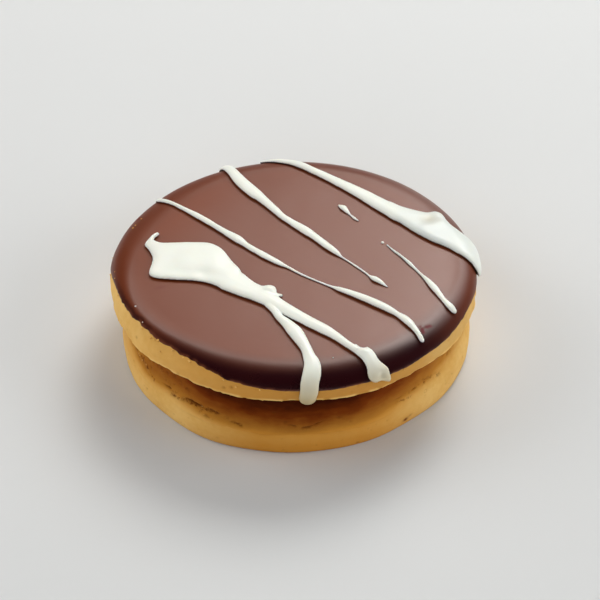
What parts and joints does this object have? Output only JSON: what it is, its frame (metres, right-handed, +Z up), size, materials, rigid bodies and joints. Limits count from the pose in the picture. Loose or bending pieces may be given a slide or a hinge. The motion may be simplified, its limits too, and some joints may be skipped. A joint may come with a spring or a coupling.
{
  "type": "chocolate alfajor",
  "caption": "Round sandwich biscuit with a milk caramel filling, its top biscuit skinned in dark chocolate and drizzled with white chocolate, standing on its flat underside.",
  "frame": {"origin": "centre of the lower biscuit's flat underside, on the surface that the alfajor rests on", "axes": "+Z up through the layers; -Y towards the side where a thread of drizzle runs down as a drip; +X to the right seen from that side"},
  "size_m": [0.081, 0.0798, 0.0233],
  "materials": {
    "biscuit": "matte golden shortcrust, slightly rough with small pits",
    "caramel": "satin brown milk caramel",
    "chocolate": "smooth satin dark chocolate; the drizzle fused on it is satin white chocolate",
    "white_chocolate": "smooth satin white chocolate, the drizzle fused on the dark skin"
  },
  "bodies": {
    "root": {"bottom_biscuit": "biscuit", "filling": "caramel", "top_biscuit": "biscuit", "chocolate_topping": "chocolate"}
  },
  "joints": []
}
